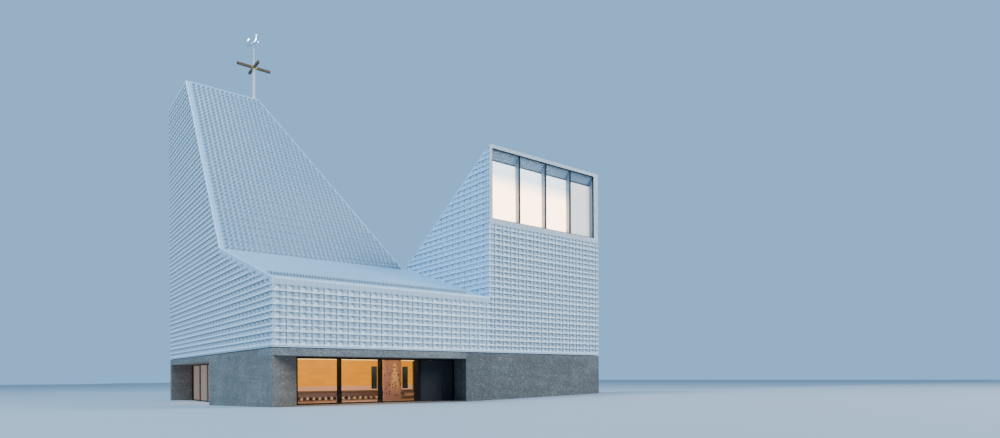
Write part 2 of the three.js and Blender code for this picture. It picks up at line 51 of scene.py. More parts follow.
class Wire:
    """An output of a node. Arithmetic on wires adds Math nodes, and node() adds any other."""

    def __init__(self, tree, socket=None):
        self.tree = tree
        self.socket = socket

    def node(self, kind, settings=None, inputs=None, output=0):
        made = self.tree.nodes.new(kind)
        for name, value in (settings or {}).items():
            if name == "stops":
                ramp = made.color_ramp
                while len(ramp.elements) < len(value):
                    ramp.elements.new(1.0)
                for element, (position, colour) in zip(ramp.elements, value):
                    element.position = position
                    element.color = (*colour, 1.0)
            else:
                setattr(made, name, value)
        for name, value in (inputs or {}).items():
            for part in value if isinstance(value, list) else [value]:
                if isinstance(part, Wire):
                    self.tree.links.new(part.socket, made.inputs[name])
                else:
                    made.inputs[name].default_value = part
        return Wire(self.tree, made.outputs[output] if made.outputs else None)

    def out(self, output):
        return Wire(self.tree, self.socket.node.outputs[output])

    def maths(self, operation, *values):
        return self.node("ShaderNodeMath", {"operation": operation}, dict(enumerate(values)))

    def __add__(self, other):
        return self.maths("ADD", self, other)

    def __mul__(self, other):
        return self.maths("MULTIPLY", self, other)

    def __sub__(self, other):
        return self.maths("SUBTRACT", self, other)

    def __rsub__(self, other):
        return self.maths("SUBTRACT", other, self)

    def above(self, edge, width):
        """0 below the edge and 1 above it, changing over the width."""
        return self.node(
            "ShaderNodeMapRange",
            {"clamp": True},
            {"Value": self, "From Min": edge - width / 2, "From Max": edge + width / 2},
        )

    def mixed(self, first, second):
        """The colour that goes from the first to the second as this goes from 0 to 1."""
        ends = [c if isinstance(c, Wire) else (*c, 1.0) for c in (first, second)]
        return self.node(
            "ShaderNodeMix", {"data_type": "RGBA"}, {0: self, 6: ends[0], 7: ends[1]}, 2
        )


def new_finish(name):
    material = bpy.data.materials.new(name)
    material.use_nodes = True
    material.node_tree.nodes.clear()
    place = Wire(material.node_tree).node("ShaderNodeTexCoord", output="Object")
    return material, place


def noise(place, scale, detail, stretch=None):
    """Soft mottling. A stretch draws it out along the axes with the low numbers."""
    if stretch:
        place = place.node("ShaderNodeMapping", {}, {"Vector": place, "Scale": stretch})
    return place.node("ShaderNodeTexNoise", {}, {"Vector": place, "Scale": scale, "Detail": detail})


def coat(place, **sockets):
    """Closes a material with one Principled shader and returns the shader."""
    inputs = {name.replace("_", " "): value for name, value in sockets.items()}
    for name in ("Base Color", "Emission Color"):
        if isinstance(inputs.get(name), tuple):
            inputs[name] = (*inputs[name], 1.0)
    shader = place.node("ShaderNodeBsdfPrincipled", {}, inputs)
    place.node("ShaderNodeOutputMaterial", {}, {"Surface": shader})
    return shader


def mottled(name, scale, detail, first, second, **sockets):
    """A finish whose colour wanders between two tones."""
    material, place = new_finish(name)
    coat(place, Base_Color=noise(place, scale, detail).mixed(first, second), **sockets)
    return material


def dress(material, *names):
    for name in names:
        nodes[name].data.materials.clear()
        nodes[name].data.materials.append(material)


def pebble_stone(name, dark, middle, light, shade_tint=None, shade_from=0.0):
    """Conglomerate: pebbles of two sizes in a grey matrix, with faint clouds and pour lifts.
    Behind the depth shade_from it can take a flat colour of painted shade."""
    stone, place = new_finish(name)
    large, small = (
        place.node("ShaderNodeTexVoronoi", {}, {"Vector": place, "Scale": scale}, "Distance")
        for scale in (9.0, 34.0)
    )
    shade, fine_shade = (
        stones.node("ShaderNodeSeparateColor", {}, {"Color": stones.out("Color")})
        for stones in (large, small)
    )
    pebbles = 1.0 - large.above(0.42, 0.12)
    grit = 1.0 - small.above(0.45, 0.15)
    clouds = noise(place, 0.7, 4.0)
    lift = noise(place, 1.0, 3.0, (0.35, 0.35, 2.6))
    ground_tone = clouds * 0.45 + lift * 0.35 + 0.1
    tone = ground_tone + (fine_shade - 0.5) * grit * 0.5 + (shade - 0.5) * pebbles * 0.8
    colour = tone.node(
        "ShaderNodeValToRGB", {"stops": [(0.0, dark), (0.5, middle), (1.0, light)]}, {"Fac": tone}
    )
    # painted shade: behind shade_from the stone gives way to a flat shade colour
    if shade_tint:
        axes = place.node("ShaderNodeSeparateXYZ", {}, {"Vector": place}, "Y")
        in_shade = axes.above(shade_from, 0.01)
        colour = in_shade.mixed(colour, shade_tint)
        grit, pebbles = grit * (1.0 - in_shade), pebbles * (1.0 - in_shade)
    bump = place.node(
        "ShaderNodeBump", {}, {"Height": grit * 0.6 + pebbles * 0.4, "Strength": 0.15,
                               "Distance": 0.004}
    )
    coat(place, Base_Color=colour, Roughness=0.78 - grit * 0.12, Normal=bump)
    return stone


grey_stone = pebble_stone("grey_stone", (0.092, 0.078, 0.065), (0.185, 0.158, 0.135), (0.38, 0.34, 0.30))
dress(grey_stone, "left_base_wall", "back_base_wall", "side_lintel", "entrance_paving")
dark_stone = pebble_stone("dark_stone", (0.06, 0.058, 0.054), (0.128, 0.123, 0.114), (0.30, 0.29, 0.275))
dress(dark_stone, "front_base_wall", "right_base_wall")
pale_lintel = pebble_stone("pale_lintel", (0.10, 0.10, 0.09), (0.215, 0.205, 0.19), (0.40, 0.39, 0.36))
dress(pale_lintel, "front_lintel")

# Carrying walls and sloping slabs
# Concrete and insulation behind the tiles, which shows only as the dark grey ground of the
# open joints.
joint_ground = mottled("joint_ground", 3.0, 3.0, (0.075, 0.105, 0.135), (0.13, 0.17, 0.205),
                       Roughness=0.85)
dress(joint_ground, "front_low_wall", "left_low_wall", "left_tower_wall", "back_tower_wall",
      "back_low_wall", "right_tower_wall", "right_low_wall", "tower_side_wall",
      "front_tower_wall", "tall_tower_front", "tall_tower_side", "tall_tower_top",
      "low_front_roof", "window_tower_roof", "low_back_roof")

# Relief tiles
# White glazed tiles, 45 mm thick, hung on the walls and on the steep slopes of the tall tower.
# Each face folds above a raised foot, and four kinds make one unit of the pattern. The slopes
# have two kinds with raised sides, which make ribs, and a notched foot. Painted shade darkens
# the low folds and the faces turned down or to the left.
TILE = 0.345  # pitch; all places and sizes below are counted in tiles
PLAN = 71  # along each side of the building
BASE = 10  # from the foot of the stone to the foot of the tiled walls
EAVE, FOLD, SILL, WINDOW_TOP, TOP = 10.05, 19.12, 23.8, 38.65, 60  # heights above the stone
TALL_FRONT, TOP_FRONT = 28, 53.8  # from the front to the foot and the head of the front slope
TALL_RIGHT, TOP_RIGHT = 39, 15.8  # from the left to the foot and the head of the side slope
BACK_FOOT = 44.15  # and to its foot at the back eave
TOWER_LEFT, TOWER_BACK = 41, 31.4  # the left side and the back end of the window tower
THICK = 0.13
TILE_JOINT = 0.02  # of a flat tile's width and of its height
SLIVER = 0.01  # area below which a cut cell gets no tile
WOBBLE = 0.008  # radians that a tile may hang out of true
COPING = 0.3  # width of the edge tiles on each side of an edge
SMOOTH = 6  # kind of a flat tile; 0 to 3 are the relief tiles of one unit, 4 and 5 the slopes'
UP, FRONT, BACK, LEFT, RIGHT = (0, 0, 1), (0, -1, 0), (0, 1, 0), (-1, 0, 0), (1, 0, 0)


def spot(x, y, z):
    """A place counted in tiles from the front left corner and the foot of the tiled walls."""
    return Vector(((x - PLAN / 2) * TILE, (y - PLAN / 2) * TILE, (z + BASE) * TILE))


def mesh_of(name, points, faces):
    mesh = bpy.data.meshes.new(name)
    mesh.from_pydata(points, [], faces)
    mesh.validate()
    return mesh


LEFT_FOLDS = (0.012, 0.16, 0.60, 0.988)  # where the folds of a relief tile are across it
MIDDLE_FOLDS = (0.012, 0.34, 0.68, 0.988)
RIB_FOLDS = (0.0, 0.22, 0.62, 1.0)
HIGH_FOLDS = (0.02, 0.42, 0.72, 0.975)  # and up it
SHORT_FOLDS = (0.02, 0.36, 0.70, 0.95)
NOTCH_FOLDS = (0.02, 0.10, 0.42, 0.975)
# Painted shade on the relief tiles: more in the deeper folds, and on faces turned down or to the left
SHADE_BY_DEPTH = 4.0
SHADE_FLAT, SHADE_MOST = 0.34, 0.8
SHADE_UP, SHADE_RIGHT = 1.7, 0.8  # how much less painted shade falls on what faces up, and right


def relief_tile(name, folds_across, folds_up, *rows):
    """A tile whose face folds between the given heights, with the lowest row of them first."""
    size = len(folds_across)
    points = [
        (u, v, THICK + rise) for v, row in zip(folds_up, rows) for u, rise in zip(folds_across, row)
    ]
    back = len(points)
    border = [*range(size), *range(2 * size - 1, back, size), *range(back - 2, back - size - 1, -1),
              *range(back - 2 * size, 0, -size)]
    points += [(*points[k][:2], 0.0) for k in border]
    faces, depth_shade = [], []
    for i in range(size - 1):
        for j in range(size - 1):
            k = j * size + i
            corners = [k, k + 1, k + 1 + size, k + size]
            level = sum(points[corner][2] for corner in corners) / 4 - THICK
            for kept in ((0, 1, 2), (0, 2, 3)) if (i + j) % 2 else ((0, 1, 3), (1, 2, 3)):
                faces.append(tuple(corners[k] for k in kept))
                depth_shade.append(-SHADE_BY_DEPTH * min(level, 0.0))
    count = len(border)
    for k, (here, following) in enumerate(zip(border, border[1:] + border[:1])):
        faces.append((back + k, back + (k + 1) % count, following, here))
    faces.append(tuple(range(back + count - 1, back - 1, -1)))
    mesh = mesh_of(name, [Vector((u - 0.5, v - 0.5, w)) * TILE for u, v, w in points], faces)
    depth_shade += [0.0] * (count + 1)
    # painted shade of each face, from the depth of its fold and the way it turns
    shaded = [
        SHADE_FLAT + low - SHADE_UP * face.normal.y - SHADE_RIGHT * face.normal.x
        for low, face in zip(depth_shade, mesh.polygons)
    ]
    # the sides of a tile take a darker body colour, partly painted shade
    rim = mesh.attributes.new("rim", "FLOAT", "FACE")
    rim.data.foreach_set("value", [0.0] * (len(faces) - count - 1) + [1.0] * (count + 1))
    shade = mesh.attributes.new("shade", "FLOAT", "FACE")
    shade.data.foreach_set("value", [min(max(amount, 0.0), SHADE_MOST) for amount in shaded])
    return bpy.data.objects.new(name, mesh)


relief_shapes = bpy.data.collections.new("relief_shapes")
for shape in (
    relief_tile("tile_a", LEFT_FOLDS, HIGH_FOLDS, (0.10, 0.13, 0.11, 0.12),
                (-0.07, 0.02, -0.01, -0.03), (-0.09, 0.04, -0.04, -0.12),
                (-0.04, 0.02, 0.03, 0.06)),
    relief_tile("tile_b", MIDDLE_FOLDS, HIGH_FOLDS, (0.12, 0.10, 0.15, 0.15),
                (-0.03, 0.02, -0.01, -0.04), (-0.12, 0.03, 0.01, -0.05),
                (0.05, 0.06, 0.05, 0.02)),
    relief_tile("tile_c", LEFT_FOLDS, SHORT_FOLDS, (0.04, 0.09, 0.09, 0.12),
                (-0.07, 0.05, -0.02, -0.04), (-0.06, 0.07, -0.02, -0.04),
                (0.00, 0.08, 0.06, 0.03)),
    relief_tile("tile_d", MIDDLE_FOLDS, SHORT_FOLDS, (0.12, 0.13, 0.09, 0.04),
                (-0.05, 0.00, 0.00, -0.07), (-0.12, 0.04, 0.03, -0.06),
                (-0.08, 0.05, 0.03, -0.03)),
    relief_tile("tile_e", RIB_FOLDS, NOTCH_FOLDS, (0.10, -0.12, -0.10, 0.09),
                (0.10, -0.11, -0.09, 0.10), (0.10, 0.03, 0.02, 0.10), (0.10, 0.05, 0.05, 0.10)),
    relief_tile("tile_f", RIB_FOLDS, NOTCH_FOLDS, (0.10, -0.08, -0.12, 0.09),
                (0.10, -0.06, -0.11, 0.10), (0.10, 0.03, 0.02, 0.10), (0.10, 0.05, 0.06, 0.10)),
):
    relief_shapes.objects.link(shape)


def glaze_finish(name, dark, light, gloss):
    """Glaze that differs a little from tile to tile, with painted shade in the folds and a darker body
    on the rims that is partly painted shade.
    """
    glazed, place = new_finish(name)
    tone, shade, rim = (
        place.node("ShaderNodeAttribute", {"attribute_name": kept}, output="Fac")
        for kept in ("tone", "shade", "rim")
    )
    stain, ripple, fleck = noise(place, 0.35, 5.0), noise(place, 26.0, 2.0), noise(place, 60.0, 2.0)
    glaze = (tone * 0.5 + 0.25 + (stain - 0.5) * 0.6).mixed(dark, light)
    # painted shade where the shade amount is high; the rims get a darker body, partly painted shade
    shaded = rim.mixed(shade.mixed(glaze, (0.20, 0.28, 0.34)), (0.15, 0.19, 0.22))
    bump = place.node("ShaderNodeBump", {}, {"Height": ripple, "Strength": 0.12, "Distance": 0.004})
    coat(place, Base_Color=shaded, Roughness=fleck * 0.16 + gloss, Normal=bump, Coat_Weight=0.25)
    return glazed


white_glaze = glaze_finish("white_glaze", (0.67, 0.81, 0.90), (0.80, 0.90, 0.96), 0.2)
# a darker, bluer copy of the white glaze: painted shade and painted blue sky light on the slopes, the
# low roofs, the window tower's left side and the edge tiles of the slopes and roofs
shaded_glaze = glaze_finish("shaded_glaze", (0.46, 0.70, 0.93), (0.56, 0.79, 0.98), 0.14)


def new_tree(name, sockets):
    tree = bpy.data.node_groups.new(name, "GeometryNodeTree")
    interface = tree.interface
    interface.new_socket(name="Geometry", in_out="INPUT", socket_type="NodeSocketGeometry")
    for label, kind in sockets.items():
        interface.new_socket(name=label, in_out="INPUT", socket_type="NodeSocket" + kind)
    interface.new_socket(name="Geometry", in_out="OUTPUT", socket_type="NodeSocketGeometry")
    return tree, Wire(tree).node("NodeGroupInput", output="Geometry")


def add(name, data):
    made = bpy.data.objects.new(name, data)
    bpy.context.scene.collection.objects.link(made)
    return made


def grow(name, mesh, tree, **values):
    """Runs a mesh through a tree and keeps the plain mesh that comes out."""
    piece = add(name, mesh)
    modifier = piece.modifiers.new(name, "NODES")
    modifier.node_group = tree
    for item in tree.interface.items_tree:
        if item.in_out == "INPUT" and item.name in values:
            modifier[item.identifier] = values[item.name]
    graph = bpy.context.evaluated_depsgraph_get()
    made = bpy.data.meshes.new_from_object(
        piece.evaluated_get(graph), preserve_all_data_layers=True, depsgraph=graph
    )
    piece.modifiers.clear()
    piece.data = made
    made.name = name
    return piece


def stored(shape, name, value, domain="FACE", **more):
    """The shape with a number kept under a name on its faces or on its instances."""
    return shape.node("GeometryNodeStoreNamedAttribute", {"domain": domain},
                      {"Geometry": shape, "Name": name, "Value": value, **more})


# The tree hangs a relief tile on every whole cell of a field and makes each cut or smooth
# cell a flat tile of its own outline
# painted shade laid evenly on every flat tile
FLAT_SHADE = 0.2
tile_tree, cells = new_tree("hung_tiles", {
    "Thickness": "Float", "Joint": "Float", "Wobble": "Float", "Shadow": "Float",
    "Shapes": "Collection", "Finish": "Material",
})
kind = cells.node("GeometryNodeInputNamedAttribute", {"data_type": "INT"}, {"Name": "kind"},
                  "Attribute")
whole = cells.node(
    "FunctionNodeCompare", {"data_type": "INT", "operation": "LESS_THAN"}, {2: kind, 3: SMOOTH}
)
split = cells.node(
    "GeometryNodeSeparateGeometry", {"domain": "FACE"}, {"Geometry": cells, "Selection": whole}
)
hooks = split.node("GeometryNodeMeshToPoints", {"mode": "FACES"}, {"Mesh": split})
library = cells.node(
    "GeometryNodeCollectionInfo", {},
    {"Collection": cells.out("Shapes"), "Separate Children": True, "Reset Children": True},
)
hung = hooks.node(
    "GeometryNodeInstanceOnPoints", {},
    {"Points": hooks, "Instance": library, "Pick Instance": True, "Instance Index": kind},
)
chance = hung.node("FunctionNodeRandomValue", {}, {"Seed": 5}, 1)
lean = hung.node(
    "FunctionNodeRandomValue", {"data_type": "FLOAT_VECTOR"},
    {0: (-1.0, -1.0, -0.3), 1: (1.0, 1.0, 0.3), "Seed": 9},
)
leaning = lean.node(
    "ShaderNodeVectorMath", {"operation": "SCALE"}, {0: lean, "Scale": cells.out("Wobble")}
)
turned = hung.node("GeometryNodeRotateInstances", {}, {"Instances": hung, "Rotation": leaning})
toned = stored(turned, "tone", chance, "INSTANCE")
relief = toned.node("GeometryNodeRealizeInstances", {}, {"Geometry": toned})
own_shade = relief.node("GeometryNodeInputNamedAttribute", {}, {"Name": "shade"}, "Attribute")
# each field scales the painted shade of its relief tiles by its Shadow
relief = stored(relief, "shade", own_shade * cells.out("Shadow"))
plain = stored(stored(split.out("Inverted"), "tone", chance), "shade", FLAT_SHADE)
parted = plain.node("GeometryNodeSplitEdges", {}, {"Mesh": plain})
narrowed = parted.node(
    "GeometryNodeScaleElements", {"domain": "FACE"},
    {"Geometry": parted, "Scale": 1.0 - cells.out("Joint")},
)
raised = narrowed.node(
    "GeometryNodeExtrudeMesh", {"mode": "FACES"},
    {"Mesh": narrowed, "Offset Scale": cells.out("Thickness"), "Individual": True},
)
# the sides of flat tiles take the darker rim colour, partly painted shade, as far as the Shadow
raised = stored(raised, "rim", cells.out("Shadow"), Selection=raised.out("Side"))
backs = narrowed.node("GeometryNodeFlipFaces", {}, {"Mesh": narrowed})
closed = raised.node("GeometryNodeJoinGeometry", {}, {"Geometry": [raised, backs]})
merged = closed.node("GeometryNodeMergeByDistance", {}, {"Geometry": closed, "Distance": 0.0002})
together = merged.node("GeometryNodeJoinGeometry", {}, {"Geometry": [merged, relief]})
glazed = together.node(
    "GeometryNodeSetMaterial", {}, {"Geometry": together, "Material": cells.out("Finish")}
)
glazed.node("NodeGroupOutput", {}, {"Geometry": glazed})


def inset(region, margins):
    """A convex outline with each side moved in by its own margin."""
    lines = []
    for (a, b), margin in zip(zip(region, region[1:] + region[:1]), margins):
        a, b = Vector(a), Vector(b)
        normal = Vector((a.y - b.y, b.x - a.x)).normalized()
        lines.append((normal, normal.dot(a) + margin))
    corners = []
    for (m, c), (n, d) in zip(lines[-1:] + lines[:-1], lines):
        det = m.x * n.y - m.y * n.x
        corners.append(((c * n.y - d * m.y) / det, (m.x * d - n.x * c) / det))
    return corners


def clipped(cell, region):
    """The part of a cell inside a convex outline that turns left."""
    for (ax, ay), (bx, by) in zip(region, region[1:] + region[:1]):
        kept = []
        depth = [(bx - ax) * (y - ay) - (by - ay) * (x - ax) for x, y in cell]
        for k, (x, y) in enumerate(cell):
            nx, ny = cell[(k + 1) % len(cell)]
            here, following = depth[k], depth[(k + 1) % len(cell)]
            if here >= 0:
                kept.append((x, y))
            if here * following < 0:
                share = here / (here - following)
                kept.append((x + (nx - x) * share, y + (ny - y) * share))
        cell = kept
    return cell


def area(cell):
    return sum(a[0] * b[1] - a[1] * b[0] for a, b in zip(cell, cell[1:] + cell[:1])) / 2


def oblong(left, low, right, high):
    return [(left, low), (right, low), (right, high), (left, high)]


def tile_cells(region, columns, rows, kind_at, plain_edge=False):
    """The cells of a grid that lie in the outline, each with its kind."""
    found = []
    for i, (u0, u1) in enumerate(columns):
        for j, (v0, v1) in enumerate(rows):
            square = oblong(u0, v0, u1, v1)
            cell = clipped(square, region)
            if len(cell) < 3 or area(cell) < SLIVER:
                continue
            kind = kind_at(i, j)
            is_cut = area(cell) < 0.999 * (u1 - u0) * (v1 - v0)
            if kind == SMOOTH or is_cut and plain_edge:
                found.append((cell, SMOOTH))
            else:
                found.append((square, kind))
    return found


def tile_field(name, region, found, corner, across, up, thickness=THICK, shadow=1.0,
               finish=white_glaze, joint=TILE_JOINT):
    """Hangs the tiles of a field on the plane through its corner with those two directions."""
    points, faces = [], []
    for cell, _ in found:
        faces.append(tuple(range(len(points), len(points) + len(cell))))
        points += [(u * TILE, v * TILE, 0.0) for u, v in cell]
    mesh = mesh_of(name, points, faces)
    kinds = mesh.attributes.new("kind", "INT", "FACE")
    kinds.data.foreach_set("value", [kind for _, kind in found])
    piece = grow(name, mesh, tile_tree, Thickness=thickness * TILE, Joint=joint, Wobble=WOBBLE,
                 Shadow=shadow, Shapes=relief_shapes, Finish=finish)
    trimmed = bmesh.new()
    trimmed.from_mesh(piece.data)
    for a, b in zip(region, region[1:] + region[:1]):
        a, b = Vector(a) * TILE, Vector(b) * TILE
        outside = Vector((b.y - a.y, a.x - b.x, 0)).normalized()
        if max(outside.dot(Vector(p) - a.to_3d()) for p in points) < 0.001:
            continue
        cut = bmesh.ops.bisect_plane(
            trimmed, geom=trimmed.verts[:] + trimmed.edges[:] + trimmed.faces[:],
            plane_co=a.to_3d(), plane_no=outside, clear_outer=True,
        )
        edges = [e for e in cut["geom_cut"] if isinstance(e, bmesh.types.BMEdge)]
        bmesh.ops.holes_fill(trimmed, edges=edges, sides=0)
    trimmed.to_mesh(piece.data)
    trimmed.free()
    across, up = Vector(across).normalized(), Vector(up).normalized()
    outward = across.cross(up)
    turn = Matrix((across, up, outward)).transposed().to_4x4()
    back = corner - outward * THICK * TILE
    piece.data.transform(Matrix.Translation(back) @ turn)
    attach(piece, "building")
    return piece


def steps(first, last, pitch=1.0):
    count = round((last - first) / pitch)
    return [(first + k * pitch, first + (k + 1) * pitch) for k in range(count)]


def unit(i, j):
    """Kinds of the four tiles of a unit, two in each of its rows."""
    return i % 2 + 2 * (j % 2)


def unit_beside(i, j):
    """The same, one column on, as the pattern falls in the fields beside the first ones."""
    return unit(i + 1, j)


def rib(i, j):
    """Kinds of the slopes' tiles, which change from row to row."""
    return 4 + j % 2


def facade(name, outline, margins, corner, across, up=UP, kind_at=unit, plain_edge=False,
           shadow=1.0, finish=white_glaze):
    """Hangs tiles in an outline, less a margin along each of its sides."""
    columns, rows = (
        steps(math.floor(min(ends)), math.ceil(max(ends))) for ends in zip(*outline)
    )
    region = inset(outline, margins)
    found = tile_cells(region, columns, rows, kind_at, plain_edge)
    tile_field(name, region, found, corner, across, up, shadow=shadow, finish=finish)


FRONT_ROWS = 10
SLOPE_LENGTH, SIDE_LENGTH = 48.34, 47.0  # up the front and the side slope of the tall tower
SIDE_DROP = 10.43  # how far the side slope runs on below the fold at the back
HIP_NEAR, HIP_FAR = 5.7, 6.19  # the hip where the two fields of the side slope meet
FRONT_UP = (0, TOP_FRONT - TALL_FRONT, TOP - FOLD)
SIDE_UP = (TOP_RIGHT - TALL_RIGHT, 0, TOP - FOLD)
SLOPE_SHADOW = 1.8
SEAM, SEAM_TOWER, SEAM_LOW = 31, 19.37, 19.21  # where the right fields meet, and their height
TOWER_COLUMNS = 32  # of the window tower's left side
DIP_BACK, DIP_FRONT = 0.52, 0.45  # how far that side runs down past the low roof
fold_column, low_back = PLAN - TALL_FRONT, PLAN - BACK_FOOT
front_corner, left_corner = spot(0, 0, 0), spot(0, PLAN, 0)
right_corner, back_corner = spot(PLAN, 0, 0), spot(PLAN, PLAN, 0)
fold_corner = spot(TALL_RIGHT, 0, FOLD)
facade("left_low_tiles", [(fold_column, 0), (PLAN, 0), (PLAN, EAVE), (fold_column, FOLD)],
       [0, 0, COPING, 0], left_corner, FRONT, kind_at=unit_beside, plain_edge=True, shadow=1.2)
facade("left_tall_tiles", [(0, 0), (fold_column, 0), (fold_column, FOLD),
                           (PLAN - TOP_FRONT, TOP), (0, TOP)],
       [0, 0, COPING, COPING, 0], left_corner, FRONT, shadow=1.2)
facade("front_low_tiles", oblong(0, 0, TOWER_LEFT, FRONT_ROWS), [0, 0, 0, 0], front_corner,
       RIGHT, kind_at=lambda i, j: SMOOTH if j == FRONT_ROWS - 1 else unit(i, j), shadow=0.9)
facade("front_tower_tiles", oblong(TOWER_LEFT, 0, PLAN, SILL), [0, 0, 0, 0], front_corner, RIGHT,
       kind_at=unit_beside, shadow=1.3)
facade("tower_side_tiles", [(TOWER_COLUMNS - TOWER_BACK, FOLD - DIP_BACK),
                            (TOWER_COLUMNS, EAVE - DIP_FRONT), (TOWER_COLUMNS, WINDOW_TOP),
                            (TOWER_COLUMNS - TOWER_BACK, FOLD)],
       [0, 0, COPING, 0], spot(TOWER_LEFT, TOWER_COLUMNS, 0), FRONT,
       kind_at=lambda i, j: unit(i + 1, j + 1), shadow=0.5, finish=shaded_glaze)
facade("right_tower_tiles", [(0, 0), (SEAM, 0), (SEAM, SEAM_TOWER), (0, WINDOW_TOP)],
       [0, 0, COPING, 0], right_corner, BACK)
facade("right_low_tiles", [(SEAM, 0), (PLAN, 0), (PLAN, EAVE), (SEAM, SEAM_LOW)],
       [0, 0, COPING, 0], right_corner, BACK, kind_at=unit_beside, plain_edge=True)
facade("back_low_tiles", oblong(0, 0, low_back, EAVE), [0, 0, COPING, 0], back_corner, LEFT)
facade("back_tall_tiles", [(low_back, 0), (PLAN, 0), (PLAN, TOP), (PLAN - TOP_RIGHT, TOP),
                           (low_back, EAVE)],
       [0, 0, COPING, COPING, 0], back_corner, LEFT)
facade("front_slope_tiles", [(0, 0), (TALL_RIGHT, 0), (TOP_RIGHT, SLOPE_LENGTH),
                             (0, SLOPE_LENGTH)],
       [0, COPING, COPING, COPING], spot(0, TALL_FRONT, FOLD), RIGHT, FRONT_UP,
       lambda i, j: SMOOTH if i == 0 else rib(i, j), shadow=SLOPE_SHADOW, finish=shaded_glaze)
facade("side_slope_near_tiles", [(28.5, 0), (TOWER_BACK, 0), (TOWER_BACK, HIP_NEAR)], [0, 0, 0],
       fold_corner, BACK, SIDE_UP, rib, shadow=SLOPE_SHADOW, finish=shaded_glaze)
facade("side_slope_tiles", [(TOWER_BACK, 0), (PLAN, -SIDE_DROP), (PLAN, SIDE_LENGTH),
                            (TOP_FRONT, SIDE_LENGTH), (TOWER_BACK, HIP_FAR)],
       [0, COPING, COPING, COPING, 0], fold_corner, BACK, SIDE_UP, rib, shadow=SLOPE_SHADOW,
       finish=shaded_glaze)

# Smooth tiles on the low roofs
# Narrow glazed strips at half the pitch run up the low slopes and lie on the flat top. A row of
# raised teeth stands before a dark bar between the edge plates and the strips, which is painted
# shade that shows through the slots between the teeth.
TEETH = (2.2, 2.9)  # from the eave to the front and the back of the teeth
# a dark bar behind the teeth, painted shade that shows through the slots, from the eave to its front and
# back
SHADE_BAR = (2.93, 3.1)
STRIP = 0.5
STRIP_JOINT = 0.004  # of a strip's width and of its length
SLOT = 0.22  # between two teeth
TEETH_RISE, SHADE_BAR_RISE = 0.38, 0.36
TEETH_SHADOW = 0.4
LOW_LENGTH, BACK_LENGTH, TOWER_LENGTH = 29.43, 40.62, 36.97  # up the three sloping roofs
SURROUND = 1.3  # depth of the high window's surround, which closes that roof


def flat(i, j):
    return SMOOTH


def roof_strips(name, region, right, length, teeth_to, corner, across, up):
    """Long strips up to the ridge, plates below them, and teeth along a part, with a dark bar of painted
    shade behind them.
    """
    thirds = [SHADE_BAR[1] + k * (length - SHADE_BAR[1]) / 3 for k in range(4)]
    strips = tile_cells(region, steps(0, right, STRIP), list(zip(thirds, thirds[1:])), flat)
    plates = tile_cells(region, steps(0, right), [(0, TEETH[0])], flat)
    plates += tile_cells(region, steps(teeth_to, right), [(TEETH[0], SHADE_BAR[1])], flat)
    teeth = [(k * STRIP + SLOT, (k + 1) * STRIP) for k in range(round(teeth_to / STRIP))]
    teeth = tile_cells(region, teeth, [TEETH], flat)
    shade_bar = tile_cells(region, steps(0, teeth_to), [SHADE_BAR], flat)
    for part, found, thickness, shadow, finish, joint in (
        ("", strips, THICK, 1.0, shaded_glaze, STRIP_JOINT),
        ("_plates", plates, THICK, 1.0, shaded_glaze, TILE_JOINT),
        ("_teeth", teeth, THICK + TEETH_RISE, TEETH_SHADOW, white_glaze, TILE_JOINT),
        ("_gutter", shade_bar, THICK + SHADE_BAR_RISE, 1.0, joint_ground, TILE_JOINT),
    ):
        if found:
            piece = tile_field(name + part, region, found, corner, across, up, thickness, shadow,
                               finish, joint)


tower_width, back_width = PLAN - TOWER_LEFT, PLAN - TALL_RIGHT
front_region = inset(oblong(0, 0, TOWER_LEFT, LOW_LENGTH), [COPING, 0, 0, COPING])
roof_strips("low_roof_strips", front_region, TOWER_LEFT, LOW_LENGTH, 37, spot(0, 0, EAVE), RIGHT,
            (0, TALL_FRONT, FOLD - EAVE))
back_region = inset([(0, 0), (low_back, 0), (back_width, BACK_LENGTH), (0, BACK_LENGTH)],
                    [COPING, 0, 0, COPING])
roof_strips("back_roof_strips", back_region, back_width, BACK_LENGTH, 27,
            spot(PLAN, PLAN, EAVE), LEFT, (0, TOWER_BACK - PLAN, FOLD - EAVE))
tower_region = inset(oblong(0, 0, tower_width, TOWER_LENGTH), [0, COPING, SURROUND, COPING])
roof_strips("tower_roof_strips", tower_region, tower_width, TOWER_LENGTH, 0,
            spot(PLAN, TOWER_BACK, FOLD), LEFT, (0, -TOWER_BACK, WINDOW_TOP - FOLD))
SADDLE_BACK = 3.4  # the flat stretch between the tall tower and the window tower
saddle_region = oblong(TALL_RIGHT, 0, TOWER_LEFT, SADDLE_BACK)
top_region = inset(oblong(0, 0, TOP_RIGHT, PLAN - TOP_FRONT), [COPING] * 4)
for name, region, columns, rows, corner in (
    ("saddle_plates", saddle_region, steps(TALL_RIGHT, TOWER_LEFT), steps(0, 4),
     spot(0, TALL_FRONT, FOLD)),
    ("tall_top_strips", top_region, steps(0, 16, STRIP), steps(0, 18, 6),
     spot(0, TOP_FRONT, TOP)),
):
    found = tile_cells(region, columns, rows, flat)
    piece = tile_field(name, region, found, corner, RIGHT, BACK, finish=shaded_glaze)

